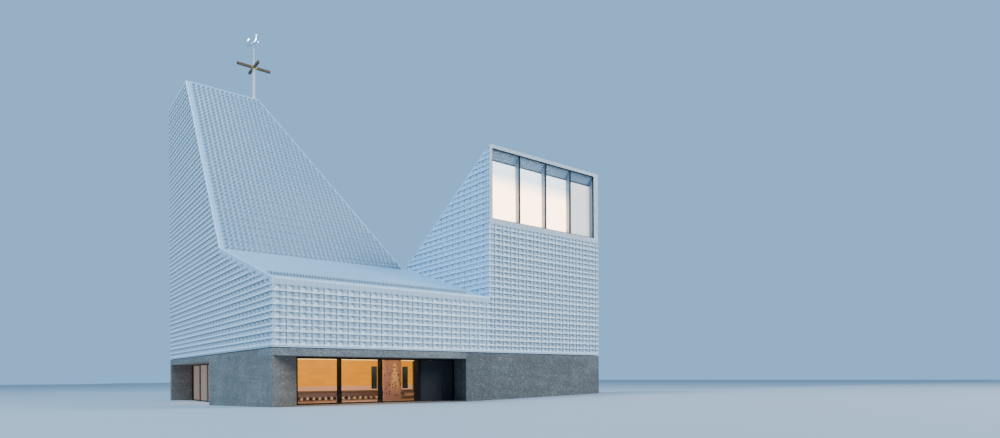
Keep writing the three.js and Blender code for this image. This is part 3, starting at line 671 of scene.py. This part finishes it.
# Edge tiles
# Angle tiles with a rounded corner, one tile long, cap every corner, eave, hip and ridge of
# the tiled body. A narrow glazed strip closes the foot of its walls.
run_tree, run_seed = new_tree("edge_run", {
    "Tile": "Object", "Start": "Vector", "Step": "Vector", "Count": "Int", "Finish": "Material",
})
course = run_seed.node(
    "GeometryNodeMeshLine", {"mode": "OFFSET"},
    {"Count": run_seed.out("Count"), "Start Location": run_seed.out("Start"),
     "Offset": run_seed.out("Step")},
)
edge_tile = run_seed.node("GeometryNodeObjectInfo", {}, {"Object": run_seed.out("Tile")},
                          "Geometry")
laid = course.node("GeometryNodeInstanceOnPoints", {}, {"Points": course, "Instance": edge_tile})
edge_tone = laid.node("FunctionNodeRandomValue", {}, {2: 0.3, "Seed": 3}, 1)
laid = stored(laid, "tone", edge_tone, "INSTANCE")
laid = laid.node("GeometryNodeRealizeInstances", {}, {"Geometry": laid})
laid = laid.node("GeometryNodeSetMaterial", {},
                 {"Geometry": laid, "Material": run_seed.out("Finish")})
laid.node("NodeGroupOutput", {}, {"Geometry": laid})


def prism(name, section, along, lean=Vector()):
    """A closed prism from a section, given as points in space, its start leaning out."""
    count = len(section)
    points = [p + lean for p in section] + [p + along for p in section]
    faces = [tuple(range(count - 1, -1, -1)), tuple(range(count, 2 * count))]
    faces += [(i, (i + 1) % count, count + (i + 1) % count, count + i) for i in range(count)]
    mesh = mesh_of(name, points, faces)
    shape = bmesh.new()
    shape.from_mesh(mesh)
    bmesh.ops.recalc_face_normals(shape, faces=shape.faces)
    shape.to_mesh(mesh)
    shape.free()
    return mesh


def lay(name, shape, start, step, count, finish):
    """Lays copies of a shape in a row."""
    tile = bpy.data.objects.new(name + "_tile", shape)
    piece = grow(name, bpy.data.meshes.new(name), run_tree, Tile=tile, Start=start, Step=step,
                 Count=count, Finish=finish)
    bpy.data.objects.remove(tile)
    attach(piece, "building")


EDGE_RADIUS, EDGE_PROUD = 0.16, 0.012
EDGE_JOINT = 0.985  # share of its pitch that an edge tile fills


def edge_run(name, start, end, side_a, side_b, width=COPING, lean=0.0, finish=white_glaze):
    """Angle tiles along an edge between two faces, given by their outward directions."""
    start, end = spot(*start), spot(*end)
    run = end - start
    count = max(1, round(run.length / TILE))
    step = run / count
    along = run.normalized()
    side_a, side_b = Vector(side_a).normalized(), Vector(side_b).normalized()
    a, b = side_a.cross(along).normalized(), side_b.cross(along).normalized()
    a = -a if a.dot(side_b) > 0 else a
    b = -b if b.dot(side_a) > 0 else b
    diagonal = (side_a + side_b) / (1 + side_a.dot(side_b))
    lift, radius, reach = EDGE_PROUD * TILE, EDGE_RADIUS * TILE, width * TILE
    sharp, deep = diagonal * lift, diagonal * -THICK * TILE
    section = [a * reach - side_a * THICK * TILE, a * reach + side_a * lift]
    for k in range(5):
        t = k / 4
        section.append(sharp + a * radius * (1 - t) ** 2 + b * radius * t ** 2)
    section += [b * reach + side_b * lift, b * reach - side_b * THICK * TILE, deep]
    leaning = (side_a + side_b) * lean * TILE
    shape = prism(name + "_tile", section, step * EDGE_JOINT, leaning)
    lay(name, shape, start, step, count, finish)


LOW_ROOF = (0, EAVE - FOLD, TALL_FRONT)  # outward directions of the roofs and slopes
FRONT_SLOPE = (0, FOLD - TOP, TOP_FRONT - TALL_FRONT)
SIDE_SLOPE = (TOP - FOLD, 0, TALL_RIGHT - TOP_RIGHT)
BACK_ROOF = (0, FOLD - EAVE, PLAN - TOWER_BACK)
TOWER_ROOF = (0, WINDOW_TOP - FOLD, TOWER_BACK)
SURROUND_TOP = 37.84  # where the tower's edge tiles meet the window's surround
eave_left, fold_left = (0, 0, EAVE), (0, TALL_FRONT, FOLD)
top_left, top_right = (0, TOP_FRONT, TOP), (TOP_RIGHT, TOP_FRONT, TOP)
back_left, back_right = (0, PLAN, TOP), (TOP_RIGHT, PLAN, TOP)
back_foot, back_end = (BACK_FOOT, PLAN, EAVE), (PLAN, PLAN, EAVE)
for name, start, end, side_a, side_b in (
    ("front_eave", eave_left, (TOWER_LEFT, 0, EAVE), FRONT, LOW_ROOF),
    ("left_low_edge", eave_left, fold_left, LEFT, LOW_ROOF),
    ("left_tall_edge", fold_left, top_left, LEFT, FRONT_SLOPE),
    ("left_top_edge", top_left, back_left, LEFT, UP),
    ("back_top_edge", back_left, back_right, BACK, UP),
    ("back_slope_edge", back_right, back_foot, BACK, SIDE_SLOPE),
    ("back_eave", back_foot, back_end, BACK, BACK_ROOF),
    ("right_low_edge", back_end, (PLAN, TOWER_BACK, FOLD), RIGHT, BACK_ROOF),
    ("right_tower_edge", (PLAN, TOWER_BACK, FOLD), (PLAN, SURROUND, SURROUND_TOP), RIGHT,
     TOWER_ROOF),
    ("tower_side_edge", (TOWER_LEFT, TOWER_BACK, FOLD), (TOWER_LEFT, SURROUND, SURROUND_TOP),
     LEFT, TOWER_ROOF),
    ("top_front_ridge", top_left, top_right, FRONT_SLOPE, UP),
    ("top_side_ridge", top_right, back_right, SIDE_SLOPE, UP),
    ("hip_edge", top_right, (TALL_RIGHT, TALL_FRONT, FOLD), FRONT_SLOPE, SIDE_SLOPE),
):
    is_white = name in ("front_eave", "back_top_edge", "back_eave")
    edge_run(name, start, end, side_a, side_b, finish=white_glaze if is_white else shaded_glaze)
CORNER_WIDTH = 0.16
CORNER_LEAN = 0.1  # each corner tile stands out at its foot
for name, x, y, low, high, side_a, side_b in (
    ("front_left_corner", 0, 0, 0, FRONT_ROWS, LEFT, FRONT),
    ("front_right_corner", PLAN, 0, 0, SILL, FRONT, RIGHT),
    ("back_left_corner", 0, PLAN, 0, TOP, LEFT, BACK),
    ("back_right_corner", PLAN, PLAN, 0, FRONT_ROWS, RIGHT, BACK),
    ("tower_corner", TOWER_LEFT, 0, FRONT_ROWS, SILL, LEFT, FRONT),
):
    edge_run(name, (x, y, low), (x, y, high), side_a, side_b, CORNER_WIDTH, lean=CORNER_LEAN)

FOOT = 0.2  # height of the closing strip under the lowest row of tiles
FOOT_DEPTH, FOOT_PROUD = 0.4, 0.02
for name, corner, along, outward in (
    ("front_foot_strip", (0, 0), RIGHT, FRONT), ("right_foot_strip", (PLAN, 0), BACK, RIGHT),
    ("back_foot_strip", (PLAN, PLAN), LEFT, BACK), ("left_foot_strip", (0, PLAN), FRONT, LEFT),
):
    along, outward = Vector(along) * TILE, Vector(outward) * TILE
    low, depth = Vector((0, 0, -FOOT * TILE)), outward * -FOOT_DEPTH
    section = [low, Vector(), depth, low + depth]
    shape = prism(name + "_tile", section, along * EDGE_JOINT)
    lay(name, shape, spot(*corner, 0) + outward * FOOT_PROUD, along, PLAN, white_glaze)

# High window
# A flush surround of pale cast stone holds four panes between thin dark bars. Its slanting
# head and its reveals take a blue grey inside, which is painted shade, beside the deep fins
# behind the glass that are painted blue grey, and a translucent sheet behind the fins glows.
# painted shade on the inner faces of the surround
SOFFIT_SHADE = (0.32, 0.41, 0.51)
SHADE_FROM = 0.06  # metres behind the facade
pale_stone = pebble_stone("pale_stone", (0.44, 0.46, 0.48), (0.62, 0.65, 0.68), (0.80, 0.82, 0.84),
                          SOFFIT_SHADE, front_corner.y + SHADE_FROM)
dress(pale_stone, "high_window_frame")
fin_paint = mottled("fin_paint", 3.0, 5.0, (0.20, 0.28, 0.37), (0.26, 0.34, 0.43), Roughness=0.55)
dress(fin_paint, "high_window_fins")
black_steel, place = new_finish("black_steel")
rub = noise(place, 7.0, 5.0)
coat(place, Base_Color=rub.mixed((0.004, 0.0045, 0.005), (0.013, 0.014, 0.015)),
     Roughness=rub * 0.2 + 0.42, Specular_IOR_Level=0.1)
dress(black_steel, "high_window_bars")

# Thin clear glass: what is behind it shows through, and the shader adds the sheen
window_glass, place = new_finish("window_glass")
shader = coat(place, Base_Color=(0.05, 0.07, 0.08), Roughness=0.03, IOR=1.5)
clear = place.node("ShaderNodeBsdfTransparent", {}, {"Color": (0.96, 0.98, 0.98, 1.0)})
facing = place.node("ShaderNodeLayerWeight", output="Facing")
sheen = facing.maths("POWER", facing, 5.0) * 0.9 + 0.02 + noise(place, 1.5, 3.0) * 0.02
share = place.node("ShaderNodeMixShader", {}, {0: sheen, 1: clear, 2: shader})
output = window_glass.node_tree.get_output_node("ALL")
window_glass.node_tree.links.new(share.socket, output.inputs["Surface"])
dress(window_glass, "high_window_glass")

SHEET_BREAK = 14.7  # height above which the sheet shows a painted reflection of the sky, in metres
SHEET_END = 9.6  # and how far to the right of the centre it is lit
lit_sheet, place = new_finish("lit_sheet")
axes = place.node("ShaderNodeSeparateXYZ", {}, {"Vector": place}, "X")
upper = axes.out("Z").above(SHEET_BREAK, 1.0)
dim_end = axes.above(SHEET_END, 0.4)
warm = noise(place, 0.45, 2.0).mixed((1.0, 0.52, 0.25), (1.0, 0.68, 0.44))
# painted reflection of the sky on the glass over the upper part of the sheet
sky_reflected = upper.mixed(warm, (0.20, 0.225, 0.25))
shown = dim_end.mixed(sky_reflected, (0.125, 0.102, 0.09))
coat(place, Base_Color=(0.8, 0.78, 0.75), Roughness=0.6, Emission_Color=shown,
     Emission_Strength=9.0)
dress(lit_sheet, "high_window_lit_sheet")

# Front entrance
# Deep posts of blackened steel stand behind one sheet of glass over three bays. The last bay
# has a pair of leaves of dark brushed steel, hung on pivots, with a short steel pull on each.
door_steel, place = new_finish("door_steel")
streak = noise(place, 2.0, 4.0, (14.0, 1.0, 0.6))
coat(place, Base_Color=streak.mixed((0.022, 0.022, 0.023), (0.042, 0.042, 0.044)),
     Roughness=streak * 0.25 + 0.45, Specular_IOR_Level=0.12)
dress(door_steel, "door_leaf_left", "door_leaf_right")
pull_steel = mottled("pull_steel", 25.0, 3.0, (0.035, 0.036, 0.038), (0.075, 0.077, 0.08),
                     Metallic=0.6, Roughness=0.5)
dress(pull_steel, "door_pull_left", "door_pull_right")
dress(black_steel, "entrance_frame")
dress(window_glass, "entrance_glass")

# Side entrance
# Slender posts of blackened steel stand behind one flush sheet of glass, and a lining of pale
# beige panels hangs behind the posts in the light of a lamp in the soffit.
dress(black_steel, "side_frame")
dress(window_glass, "side_glass")
beige_panels, place = new_finish("beige_panels")
streaks = noise(place, 1.4, 4.0, (1.0, 9.0, 0.12))
panel = streaks.above(0.5, 0.6).mixed((0.46, 0.30, 0.22), (0.66, 0.45, 0.33))
# the panels' glow is painted lamplight from the soffit
coat(place, Base_Color=panel, Roughness=0.6, Emission_Color=panel, Emission_Strength=0.8)
dress(beige_panels, "side_panels")

# Inside the lobby and the church
# A plaster ceiling in warm light over a floor of slabs, a gold lining on the far wall round two
# narrow windows, stained wooden benches with panelled fronts on pale feet, and a perforated
# screen beside the doors. The feet's pale colour is painted light that shows under the benches.
# the ceiling's warm glow is painted light
plaster = mottled("warm_plaster", 2.5, 5.0, (0.72, 0.55, 0.38), (0.80, 0.63, 0.45), Roughness=0.8,
                  Emission_Color=(1.0, 0.58, 0.17), Emission_Strength=3.0)
dress(plaster, "entrance_ceiling")

gold_lining, place = new_finish("gold_lining")
turned = place.node("ShaderNodeMapping", {}, {"Vector": place, "Rotation": (math.pi / 2, 0, 0)})
seams = place.node("ShaderNodeTexBrick", {}, {
    "Vector": turned, "Scale": 1.0, "Brick Width": 1.2, "Row Height": 0.3,
    "Mortar Size": 0.006, "Color1": (0.98, 0.34, 0.002, 1.0),
    "Color2": (0.88, 0.28, 0.002, 1.0), "Mortar": (0.65, 0.20, 0.002, 1.0),
})
SKIRT_TOP = 1.02  # height of the dull band at the foot of the lining
low_band = place.node("ShaderNodeSeparateXYZ", {}, {"Vector": place}, "Z").above(SKIRT_TOP, 0.1)
lining = low_band.mixed((0.60, 0.27, 0.15), seams)
# the lining's glow is painted warm light
coat(place, Base_Color=low_band.mixed((0.30, 0.12, 0.06), (0.20, 0.07, 0.004)), Roughness=0.45,
     Emission_Color=lining, Emission_Strength=1.1)
dress(gold_lining, "gold_wall_lining")

brown_wood = mottled("brown_wood", 12.0, 6.0, (0.10, 0.065, 0.085), (0.23, 0.16, 0.19),
                     Roughness=0.45)
dress(brown_wood, "bench_1", "bench_2", "bench_3", "bench_4")
# pale feet whose colour is painted light, seen under the benches
lit_foot = mottled("lit_foot", 20.0, 4.0, (0.62, 0.53, 0.46), (0.80, 0.72, 0.64),
                     Roughness=0.6)
BOARD_WIDTH, BOARD_THICK, BOARD_HIGH = 0.2, 0.025, 0.17  # of a foot board, in metres
BOARD_TAPER, FOOT_PITCH = 0.05, 0.43
MARGIN = 0.04  # of a front inside the ends and the top of its bench
FRONT_PLACE = Vector((MARGIN, -0.03, 0.01))  # from the lower front left corner of a bench
PANELS, PANEL_JOINT = 3, 0.012
for number in range(1, 5):
    low, high = (Vector(corner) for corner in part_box(f"bench_{number}"))
    start = low + FRONT_PLACE
    width = high.x - low.x
    foot = [Vector((x, 0, z)) for x, z in (
        (0, 0), (BOARD_WIDTH, 0), (BOARD_WIDTH - BOARD_TAPER, BOARD_HIGH), (BOARD_TAPER, BOARD_HIGH)
    )]
    shape = prism("foot", foot, Vector((0, BOARD_THICK, 0)))
    lay(f"bench_{number}_feet", shape, start, Vector((FOOT_PITCH, 0, 0)), int(width / FOOT_PITCH),
        lit_foot)
    top = high.z - start.z - MARGIN
    panel = [Vector((0, y, z)) for y, z in (
        (0, BOARD_HIGH), (BOARD_THICK, BOARD_HIGH), (0.015, top), (0.005, top)
    )]
    step = Vector(((width - 2 * MARGIN) / PANELS, 0, 0))
    shape = prism("panel", panel, step - Vector((PANEL_JOINT, 0, 0)))
    lay(f"bench_{number}_front", shape, start, step, PANELS, brown_wood)

BEAM_TOP, BEAM_LOW, BEAM_X = 2.72, 1.3, -2.78  # where a lamp's light falls on the screen
pierced_screen, place = new_finish("pierced_screen")
holes = place.node(
    "ShaderNodeTexVoronoi", {}, {"Vector": place, "Scale": 5.0, "Randomness": 0.8}, "Distance"
)
hole = 1.0 - holes.above(0.26, 0.1)
across_screen = place.node("ShaderNodeSeparateXYZ", {}, {"Vector": place}, "X")
up_screen = across_screen.out("Z")
off_beam = across_screen.maths("ABSOLUTE", across_screen - BEAM_X)
spread = off_beam + (up_screen - BEAM_TOP) * 0.16
beam = ((1.0 - spread.above(0.08, 0.16)) * up_screen.above(BEAM_LOW, 1.2)
        * (1.0 - up_screen.above(BEAM_TOP, 0.2)))
board = hole.mixed((0.20, 0.10, 0.075), (0.03, 0.012, 0.01))
lit_board = hole.mixed(beam.mixed((0.22, 0.10, 0.065), (1.0, 0.46, 0.12)), (0.05, 0.015, 0.01))
coat(place, Base_Color=board, Roughness=0.55, Emission_Color=lit_board, Emission_Strength=0.6)
dress(pierced_screen, "perforated_screen")

dusk_glass, place = new_finish("dusk_glass")
fade = place.node("ShaderNodeSeparateXYZ", {}, {"Vector": place}, "Z")
garden = noise(place, 3.0, 4.0)
dusk = fade.above(2.2, 1.2) * 0.7 + garden * 0.3
# the back windows glow with painted dusk light, lighter towards the top
coat(place, Base_Color=dusk.mixed((0.008, 0.018, 0.012), (0.03, 0.06, 0.07)), Roughness=0.08,
     Emission_Color=dusk.mixed((0.01, 0.02, 0.012), (0.07, 0.10, 0.10)), Emission_Strength=0.4)
dress(dusk_glass, "back_window_1", "back_window_2")

floor_slabs, place = new_finish("floor_slabs")
slabs = place.node("ShaderNodeTexBrick", {}, {
    "Vector": place, "Scale": 1.0, "Mortar Size": 0.004, "Color1": (0.20, 0.13, 0.13, 1.0),
    "Color2": (0.25, 0.17, 0.165, 1.0), "Mortar": (0.11, 0.07, 0.07, 1.0),
})
coat(place, Base_Color=slabs, Roughness=0.6, Specular_IOR_Level=0.2)
dress(floor_slabs, "floor_slab")

# Mast and cross
# A tapered steel tube painted cream, welded to a foot plate on the tower's flat top, with a
# square-armed cross of patinated bronze and a thin rod and ball above it.
cream_paint = mottled("cream_paint", 4.0, 5.0, (0.74, 0.69, 0.58), (0.85, 0.80, 0.70),
                      Roughness=0.45)
dress(cream_paint, "mast", "vane_pin")
bronze, place = new_finish("patinated_bronze")
patina = noise(place, 5.0, 6.0)
MAST_X, MAST_Y, HUB_HEIGHT = 15.0, 54.6, 67.5
hub = place.node("ShaderNodeVectorMath", {"operation": "DISTANCE"},
                 {0: place, 1: spot(MAST_X, MAST_Y, HUB_HEIGHT)}, "Value")
# the bronze turns golden within a small radius of the hub
golden_spot = 1.0 - hub.above(0.24, 0.12)
skin = patina.mixed((0.045, 0.035, 0.025), (0.20, 0.125, 0.05))
coat(place, Base_Color=golden_spot.mixed(skin, (0.60, 0.38, 0.10)),
     Roughness=patina * 0.3 + 0.35, Metallic=0.6)
dress(bronze, "cross")

# Weathercock
# A hollow bird beaten from polished steel sheet, turning on the pin: a full breast and a
# raised head to the right, and a rounded tail to the left.
VANE_FOOT = spot(MAST_X, MAST_Y, 72.15)
VANE_TURN = -0.636
ROUND_SIDES = 20


def lofted(shape, rings):
    """Joins ellipses into a closed skin. Each has a centre, a half width along its own
    direction in the bird's plane and a half thickness across it."""
    loops = []
    for (x, z), (dx, dz), half, thick in rings:
        loop = []
        for k in range(ROUND_SIDES):
            t = 2 * math.pi * k / ROUND_SIDES
            reach = half * math.cos(t)
            loop.append(shape.verts.new((x + dx * reach, thick * math.sin(t), z + dz * reach)))
        loops.append(loop)
    for low, high in zip(loops, loops[1:]):
        for k in range(ROUND_SIDES):
            n = (k + 1) % ROUND_SIDES
            shape.faces.new((low[k], low[n], high[n], high[k]))
    shape.faces.new(loops[0])
    shape.faces.new(loops[-1][::-1])


def along_curve(points):
    """Rings square to a chain of points, each with its half width and half thickness."""
    rings = []
    for k, (x, z, half, thick) in enumerate(points):
        before, after = points[max(k - 1, 0)], points[min(k + 1, len(points) - 1)]
        run = Vector((after[0] - before[0], after[1] - before[1])).normalized()
        rings.append(((x, z), (-run.y, run.x), half, thick))
    return rings


bird = bmesh.new()
lofted(bird, along_curve([
    (-0.62, 0.48, 0.10, 0.06), (-0.45, 0.50, 0.34, 0.20), (-0.1, 0.62, 0.52, 0.34),
    (0.3, 0.82, 0.66, 0.44), (0.62, 1.2, 0.68, 0.46), (0.74, 1.65, 0.55, 0.38),
    (0.75, 2.1, 0.38, 0.28), (0.74, 2.5, 0.27, 0.22), (0.74, 2.8, 0.27, 0.21),
    (0.76, 3.05, 0.2, 0.16), (0.77, 3.2, 0.05, 0.04),
]))
lofted(bird, along_curve([
    (0.86, 2.78, 0.15, 0.12), (1.08, 2.76, 0.09, 0.07), (1.32, 2.72, 0.015, 0.015),
]))
lofted(bird, along_curve([
    (-0.98, -0.12, 0.06, 0.03), (-0.99, 0.05, 0.38, 0.10), (-1.02, 0.4, 0.6, 0.17),
    (-1.05, 0.9, 0.66, 0.2), (-1.05, 1.4, 0.62, 0.19), (-1.02, 1.8, 0.46, 0.15),
    (-0.98, 2.02, 0.24, 0.1), (-0.97, 2.1, 0.06, 0.03),
]))
lofted(bird, [((0, z), (1, 0), 0.14, 0.14) for z in (0.03, 0.35, 0.6)])
bmesh.ops.recalc_face_normals(bird, faces=bird.faces)
bird_mesh = bpy.data.meshes.new("weathercock_bird")
bird.to_mesh(bird_mesh)
bird.free()
bird_mesh.transform(
    Matrix.Translation(VANE_FOOT) @ Matrix.Rotation(VANE_TURN, 4, "Z") @ Matrix.Scale(TILE, 4)
)
bird_mesh.polygons.foreach_set("use_smooth", [len(f.vertices) == 4 for f in bird_mesh.polygons])
bird_piece = add("weathercock_bird", bird_mesh)
polished, place = new_finish("polished_steel")
dents = noise(place, 9.0, 2.0)
hammered = place.node("ShaderNodeBump", {}, {"Height": dents, "Strength": 0.2, "Distance": 0.01})
coat(place, Base_Color=(0.82, 0.85, 0.88), Metallic=1.0, Roughness=dents * 0.12 + 0.08,
     Normal=hammered)
bird_mesh.materials.append(polished)
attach(bird_piece, "vane")
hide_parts("weathercock")

# Floor, light and camera
# The ground falls from the front corner to the side entrance, rises to the right and runs into
# the side recess. Two wide soft lights stand for the sky, and three small ones for lamps.
GROUND_FRONT = [(0, 0.93), (35, 0.80), (PLAN, 1.62)]  # ground in tiles above the lowest point
RECESS_BACK, RECESS_FROM, RECESS_TO = 4.6, 35.5, 69.7  # of the side entrance
GROUND_LEFT = [(0, 0.93), (RECESS_FROM, 0.04), (PLAN, 0.05)]


def level_at(profile, distance):
    distance = min(max(distance, 0), PLAN)
    for (a, low), (b, high) in zip(profile, profile[1:]):
        if distance <= b:
            return low + (high - low) * (distance - a) / (b - a)


def ground(x, y):
    return level_at(GROUND_FRONT, x) + level_at(GROUND_LEFT, y) - GROUND_LEFT[0][1] - BASE


marks_x = [-600, -200, -60, -20, 0, 2.3, RECESS_BACK, 10, 20, 35, 47, 59, PLAN, 90, 150, 300, 700]
marks_y = [-600, -200, -60, -20, 0, 10, 20, RECESS_FROM, 47, 58, RECESS_TO, PLAN, 90, 150, 300, 700]
points = [spot(x, y, ground(x, y)) for y in marks_y for x in marks_x]
faces = []
for j, y in enumerate(marks_y[:-1]):
    for i, x in enumerate(marks_x[:-1]):
        in_recess = x < RECESS_BACK and RECESS_FROM <= y < RECESS_TO
        if 0 <= x < PLAN and 0 <= y < PLAN and not in_recess:
            continue
        row = j * len(marks_x) + i
        faces.append((row, row + 1, row + 1 + len(marks_x), row + len(marks_x)))
floor = add("studio_floor", mesh_of("studio_floor", points, faces))
pale_floor, place = new_finish("pale_floor")
coat(place, Base_Color=(0.42, 0.45, 0.48), Roughness=0.7)
floor.data.materials.append(pale_floor)

world = bpy.data.worlds.new("studio")
bpy.context.scene.world = world
world.use_nodes = True
backdrop = world.node_tree.nodes["Background"]
backdrop.inputs["Color"].default_value = (0.31, 0.61, 1.0, 1.0)
backdrop.inputs["Strength"].default_value = 0.92


def soft_light(name, place, aim, size, power, colour):
    lamp = bpy.data.lights.new(name, "AREA")
    lamp.size = size
    lamp.energy = power
    lamp.color = colour
    lit = add(name, lamp)
    lit.location = place
    lit.rotation_euler = (Vector(aim) - Vector(place)).to_track_quat("-Z", "Y").to_euler()


soft_light("front_light", (42, -72, 50), (0, -8, 8), 40, 57000, (0.94, 0.98, 1.0))
soft_light("side_sky_light", (-50, 0, 92), (-8, 0, 12), 40, 108000, (0.56, 0.80, 1.0))
soft_light("lobby_light", spot(20, 12, -1.7), spot(20, 16, -9), 3.0, 220, (1.0, 0.74, 0.58))
soft_light("church_light", spot(42, 50, 6), spot(42, 60, -9), 8, 900, (1.0, 0.68, 0.36))
soft_light("side_light", spot(2.2, 50, -1.8), spot(2.2, 50, -9), 1.5, 45, (1.0, 0.62, 0.48))

CAMERA_PLACE = (-22.85, -42.56, 1.774)
VIEW_X, VIEW_Y = 0.5943, 0.8043  # direction of the level view
ROLL = -0.005
level_right, up = Vector((VIEW_Y, -VIEW_X, 0.0)), Vector(UP)
right = level_right * math.cos(ROLL) + up * math.sin(ROLL)
above = up * math.cos(ROLL) - level_right * math.sin(ROLL)
turn = Matrix((right, above, Vector((-VIEW_X, -VIEW_Y, 0.0)))).transposed().to_4x4()
camera = add("camera", bpy.data.cameras.new("camera"))
camera.matrix_world = Matrix.Translation(CAMERA_PLACE) @ turn
camera.data.sensor_width = 36
camera.data.lens = 21.94
camera.data.shift_x = 0.0388
camera.data.shift_y = 0.1586
camera.data.clip_end = 1000
bpy.context.scene.camera = camera
